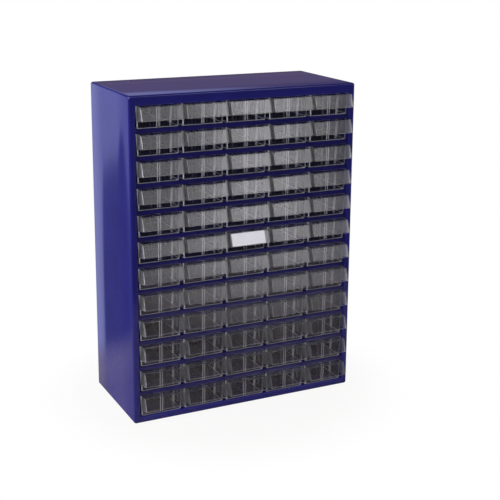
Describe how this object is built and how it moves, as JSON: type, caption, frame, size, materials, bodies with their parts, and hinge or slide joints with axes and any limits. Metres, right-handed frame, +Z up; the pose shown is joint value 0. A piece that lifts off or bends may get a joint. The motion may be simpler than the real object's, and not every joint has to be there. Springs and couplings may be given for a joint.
{
  "type": "parts bin cabinet",
  "caption": "Desk or wall cabinet for small parts: a folded steel case, open in front, full of clear sliding drawers with hooded pulls that hold label cards.",
  "frame": {"origin": "centre of the case's base, on the surface that it stands on", "axes": "+X to the right seen from the front, -Y to the front, where the drawers pull out, +Z up"},
  "size_m": [0.306, 0.155, 0.411],
  "materials": {
    "blue_enamel": "gloss stoved enamel",
    "clear_polystyrene": "clear, moulded",
    "card": "matt white card"
  },
  "bodies": {
    "case": {"case_shell": "blue_enamel", "back_panel": "blue_enamel", "shelf_pressings": "blue_enamel"},
    "drawer_r01_c1": {"drawer_r01_c1": "clear_polystyrene"},
    "drawer_r01_c2": {"drawer_r01_c2": "clear_polystyrene"},
    "drawer_r01_c3": {"drawer_r01_c3": "clear_polystyrene"},
    "drawer_r01_c4": {"drawer_r01_c4": "clear_polystyrene"},
    "drawer_r01_c5": {"drawer_r01_c5": "clear_polystyrene"},
    "drawer_r02_c1": {"drawer_r02_c1": "clear_polystyrene"},
    "drawer_r02_c2": {"drawer_r02_c2": "clear_polystyrene"},
    "drawer_r02_c3": {"drawer_r02_c3": "clear_polystyrene"},
    "drawer_r02_c4": {"drawer_r02_c4": "clear_polystyrene"},
    "drawer_r02_c5": {"drawer_r02_c5": "clear_polystyrene"},
    "drawer_r03_c1": {"drawer_r03_c1": "clear_polystyrene"},
    "drawer_r03_c2": {"drawer_r03_c2": "clear_polystyrene"},
    "drawer_r03_c3": {"drawer_r03_c3": "clear_polystyrene"},
    "drawer_r03_c4": {"drawer_r03_c4": "clear_polystyrene"},
    "drawer_r03_c5": {"drawer_r03_c5": "clear_polystyrene"},
    "drawer_r04_c1": {"drawer_r04_c1": "clear_polystyrene"},
    "drawer_r04_c2": {"drawer_r04_c2": "clear_polystyrene"},
    "drawer_r04_c3": {"drawer_r04_c3": "clear_polystyrene"},
    "drawer_r04_c4": {"drawer_r04_c4": "clear_polystyrene"},
    "drawer_r04_c5": {"drawer_r04_c5": "clear_polystyrene"},
    "drawer_r05_c1": {"drawer_r05_c1": "clear_polystyrene"},
    "drawer_r05_c2": {"drawer_r05_c2": "clear_polystyrene"},
    "drawer_r05_c3": {"drawer_r05_c3": "clear_polystyrene"},
    "drawer_r05_c4": {"drawer_r05_c4": "clear_polystyrene"},
    "drawer_r05_c5": {"drawer_r05_c5": "clear_polystyrene"},
    "drawer_r06_c1": {"drawer_r06_c1": "clear_polystyrene"},
    "drawer_r06_c2": {"drawer_r06_c2": "clear_polystyrene"},
    "drawer_r06_c3": {"drawer_r06_c3": "clear_polystyrene", "label_card": "card"},
    "drawer_r06_c4": {"drawer_r06_c4": "clear_polystyrene"},
    "drawer_r06_c5": {"drawer_r06_c5": "clear_polystyrene"},
    "drawer_r07_c1": {"drawer_r07_c1": "clear_polystyrene"},
    "drawer_r07_c2": {"drawer_r07_c2": "clear_polystyrene"},
    "drawer_r07_c3": {"drawer_r07_c3": "clear_polystyrene"},
    "drawer_r07_c4": {"drawer_r07_c4": "clear_polystyrene"},
    "drawer_r07_c5": {"drawer_r07_c5": "clear_polystyrene"},
    "drawer_r08_c1": {"drawer_r08_c1": "clear_polystyrene"},
    "drawer_r08_c2": {"drawer_r08_c2": "clear_polystyrene"},
    "drawer_r08_c3": {"drawer_r08_c3": "clear_polystyrene"},
    "drawer_r08_c4": {"drawer_r08_c4": "clear_polystyrene"},
    "drawer_r08_c5": {"drawer_r08_c5": "clear_polystyrene"},
    "drawer_r09_c1": {"drawer_r09_c1": "clear_polystyrene"},
    "drawer_r09_c2": {"drawer_r09_c2": "clear_polystyrene"},
    "drawer_r09_c3": {"drawer_r09_c3": "clear_polystyrene"},
    "drawer_r09_c4": {"drawer_r09_c4": "clear_polystyrene"},
    "drawer_r09_c5": {"drawer_r09_c5": "clear_polystyrene"},
    "drawer_r10_c1": {"drawer_r10_c1": "clear_polystyrene"},
    "drawer_r10_c2": {"drawer_r10_c2": "clear_polystyrene"},
    "drawer_r10_c3": {"drawer_r10_c3": "clear_polystyrene"},
    "drawer_r10_c4": {"drawer_r10_c4": "clear_polystyrene"},
    "drawer_r10_c5": {"drawer_r10_c5": "clear_polystyrene"},
    "drawer_r11_c1": {"drawer_r11_c1": "clear_polystyrene"},
    "drawer_r11_c2": {"drawer_r11_c2": "clear_polystyrene"},
    "drawer_r11_c3": {"drawer_r11_c3": "clear_polystyrene"},
    "drawer_r11_c4": {"drawer_r11_c4": "clear_polystyrene"},
    "drawer_r11_c5": {"drawer_r11_c5": "clear_polystyrene"},
    "drawers_r12": {"drawers_r12": "clear_polystyrene"}
  },
  "joints": [
    {"name": "slide_r01_c1", "type": "slide", "parent": "case", "child": "drawer_r01_c1", "axis": [0, -1, 0], "range_m": [0, 0.1026]},
    {"name": "slide_r01_c2", "type": "slide", "parent": "case", "child": "drawer_r01_c2", "axis": [0, -1, 0], "range_m": [0, 0.1026]},
    {"name": "slide_r01_c3", "type": "slide", "parent": "case", "child": "drawer_r01_c3", "axis": [0, -1, 0], "range_m": [0, 0.1026]},
    {"name": "slide_r01_c4", "type": "slide", "parent": "case", "child": "drawer_r01_c4", "axis": [0, -1, 0], "range_m": [0, 0.1026]},
    {"name": "slide_r01_c5", "type": "slide", "parent": "case", "child": "drawer_r01_c5", "axis": [0, -1, 0], "range_m": [0, 0.1026]},
    {"name": "slide_r02_c1", "type": "slide", "parent": "case", "child": "drawer_r02_c1", "axis": [0, -1, 0], "range_m": [0, 0.1066]},
    {"name": "slide_r02_c2", "type": "slide", "parent": "case", "child": "drawer_r02_c2", "axis": [0, -1, 0], "range_m": [0, 0.1066]},
    {"name": "slide_r02_c3", "type": "slide", "parent": "case", "child": "drawer_r02_c3", "axis": [0, -1, 0], "range_m": [0, 0.1066]},
    {"name": "slide_r02_c4", "type": "slide", "parent": "case", "child": "drawer_r02_c4", "axis": [0, -1, 0], "range_m": [0, 0.1066]},
    {"name": "slide_r02_c5", "type": "slide", "parent": "case", "child": "drawer_r02_c5", "axis": [0, -1, 0], "range_m": [0, 0.1066]},
    {"name": "slide_r03_c1", "type": "slide", "parent": "case", "child": "drawer_r03_c1", "axis": [0, -1, 0], "range_m": [0, 0.1066]},
    {"name": "slide_r03_c2", "type": "slide", "parent": "case", "child": "drawer_r03_c2", "axis": [0, -1, 0], "range_m": [0, 0.1066]},
    {"name": "slide_r03_c3", "type": "slide", "parent": "case", "child": "drawer_r03_c3", "axis": [0, -1, 0], "range_m": [0, 0.1066]},
    {"name": "slide_r03_c4", "type": "slide", "parent": "case", "child": "drawer_r03_c4", "axis": [0, -1, 0], "range_m": [0, 0.1066]},
    {"name": "slide_r03_c5", "type": "slide", "parent": "case", "child": "drawer_r03_c5", "axis": [0, -1, 0], "range_m": [0, 0.1066]},
    {"name": "slide_r04_c1", "type": "slide", "parent": "case", "child": "drawer_r04_c1", "axis": [0, -1, 0], "range_m": [0, 0.1066]},
    {"name": "slide_r04_c2", "type": "slide", "parent": "case", "child": "drawer_r04_c2", "axis": [0, -1, 0], "range_m": [0, 0.1066]},
    {"name": "slide_r04_c3", "type": "slide", "parent": "case", "child": "drawer_r04_c3", "axis": [0, -1, 0], "range_m": [0, 0.1066]},
    {"name": "slide_r04_c4", "type": "slide", "parent": "case", "child": "drawer_r04_c4", "axis": [0, -1, 0], "range_m": [0, 0.1066]},
    {"name": "slide_r04_c5", "type": "slide", "parent": "case", "child": "drawer_r04_c5", "axis": [0, -1, 0], "range_m": [0, 0.1066]},
    {"name": "slide_r05_c1", "type": "slide", "parent": "case", "child": "drawer_r05_c1", "axis": [0, -1, 0], "range_m": [0, 0.1066]},
    {"name": "slide_r05_c2", "type": "slide", "parent": "case", "child": "drawer_r05_c2", "axis": [0, -1, 0], "range_m": [0, 0.1066]},
    {"name": "slide_r05_c3", "type": "slide", "parent": "case", "child": "drawer_r05_c3", "axis": [0, -1, 0], "range_m": [0, 0.1066]},
    {"name": "slide_r05_c4", "type": "slide", "parent": "case", "child": "drawer_r05_c4", "axis": [0, -1, 0], "range_m": [0, 0.1066]},
    {"name": "slide_r05_c5", "type": "slide", "parent": "case", "child": "drawer_r05_c5", "axis": [0, -1, 0], "range_m": [0, 0.1066]},
    {"name": "slide_r06_c1", "type": "slide", "parent": "case", "child": "drawer_r06_c1", "axis": [0, -1, 0], "range_m": [0, 0.1066]},
    {"name": "slide_r06_c2", "type": "slide", "parent": "case", "child": "drawer_r06_c2", "axis": [0, -1, 0], "range_m": [0, 0.1066]},
    {"name": "slide_r06_c3", "type": "slide", "parent": "case", "child": "drawer_r06_c3", "axis": [0, -1, 0], "range_m": [0, 0.1066]},
    {"name": "slide_r06_c4", "type": "slide", "parent": "case", "child": "drawer_r06_c4", "axis": [0, -1, 0], "range_m": [0, 0.1066]},
    {"name": "slide_r06_c5", "type": "slide", "parent": "case", "child": "drawer_r06_c5", "axis": [0, -1, 0], "range_m": [0, 0.1066]},
    {"name": "slide_r07_c1", "type": "slide", "parent": "case", "child": "drawer_r07_c1", "axis": [0, -1, 0], "range_m": [0, 0.1066]},
    {"name": "slide_r07_c2", "type": "slide", "parent": "case", "child": "drawer_r07_c2", "axis": [0, -1, 0], "range_m": [0, 0.1066]},
    {"name": "slide_r07_c3", "type": "slide", "parent": "case", "child": "drawer_r07_c3", "axis": [0, -1, 0], "range_m": [0, 0.1066]},
    {"name": "slide_r07_c4", "type": "slide", "parent": "case", "child": "drawer_r07_c4", "axis": [0, -1, 0], "range_m": [0, 0.1066]},
    {"name": "slide_r07_c5", "type": "slide", "parent": "case", "child": "drawer_r07_c5", "axis": [0, -1, 0], "range_m": [0, 0.1066]},
    {"name": "slide_r08_c1", "type": "slide", "parent": "case", "child": "drawer_r08_c1", "axis": [0, -1, 0], "range_m": [0, 0.1066]},
    {"name": "slide_r08_c2", "type": "slide", "parent": "case", "child": "drawer_r08_c2", "axis": [0, -1, 0], "range_m": [0, 0.1066]},
    {"name": "slide_r08_c3", "type": "slide", "parent": "case", "child": "drawer_r08_c3", "axis": [0, -1, 0], "range_m": [0, 0.1066]},
    {"name": "slide_r08_c4", "type": "slide", "parent": "case", "child": "drawer_r08_c4", "axis": [0, -1, 0], "range_m": [0, 0.1066]},
    {"name": "slide_r08_c5", "type": "slide", "parent": "case", "child": "drawer_r08_c5", "axis": [0, -1, 0], "range_m": [0, 0.1066]},
    {"name": "slide_r09_c1", "type": "slide", "parent": "case", "child": "drawer_r09_c1", "axis": [0, -1, 0], "range_m": [0, 0.1066]},
    {"name": "slide_r09_c2", "type": "slide", "parent": "case", "child": "drawer_r09_c2", "axis": [0, -1, 0], "range_m": [0, 0.1066]},
    {"name": "slide_r09_c3", "type": "slide", "parent": "case", "child": "drawer_r09_c3", "axis": [0, -1, 0], "range_m": [0, 0.1066]},
    {"name": "slide_r09_c4", "type": "slide", "parent": "case", "child": "drawer_r09_c4", "axis": [0, -1, 0], "range_m": [0, 0.1066]},
    {"name": "slide_r09_c5", "type": "slide", "parent": "case", "child": "drawer_r09_c5", "axis": [0, -1, 0], "range_m": [0, 0.1066]},
    {"name": "slide_r10_c1", "type": "slide", "parent": "case", "child": "drawer_r10_c1", "axis": [0, -1, 0], "range_m": [0, 0.1066]},
    {"name": "slide_r10_c2", "type": "slide", "parent": "case", "child": "drawer_r10_c2", "axis": [0, -1, 0], "range_m": [0, 0.1066]},
    {"name": "slide_r10_c3", "type": "slide", "parent": "case", "child": "drawer_r10_c3", "axis": [0, -1, 0], "range_m": [0, 0.1066]},
    {"name": "slide_r10_c4", "type": "slide", "parent": "case", "child": "drawer_r10_c4", "axis": [0, -1, 0], "range_m": [0, 0.1066]},
    {"name": "slide_r10_c5", "type": "slide", "parent": "case", "child": "drawer_r10_c5", "axis": [0, -1, 0], "range_m": [0, 0.1066]},
    {"name": "slide_r11_c1", "type": "slide", "parent": "case", "child": "drawer_r11_c1", "axis": [0, -1, 0], "range_m": [0, 0.1066]},
    {"name": "slide_r11_c2", "type": "slide", "parent": "case", "child": "drawer_r11_c2", "axis": [0, -1, 0], "range_m": [0, 0.1066]},
    {"name": "slide_r11_c3", "type": "slide", "parent": "case", "child": "drawer_r11_c3", "axis": [0, -1, 0], "range_m": [0, 0.1066]},
    {"name": "slide_r11_c4", "type": "slide", "parent": "case", "child": "drawer_r11_c4", "axis": [0, -1, 0], "range_m": [0, 0.1066]},
    {"name": "slide_r11_c5", "type": "slide", "parent": "case", "child": "drawer_r11_c5", "axis": [0, -1, 0], "range_m": [0, 0.1066]},
    {"name": "slides_r12", "type": "slide", "parent": "case", "child": "drawers_r12", "axis": [0, -1, 0], "range_m": [0, 0.1066]}
  ]
}
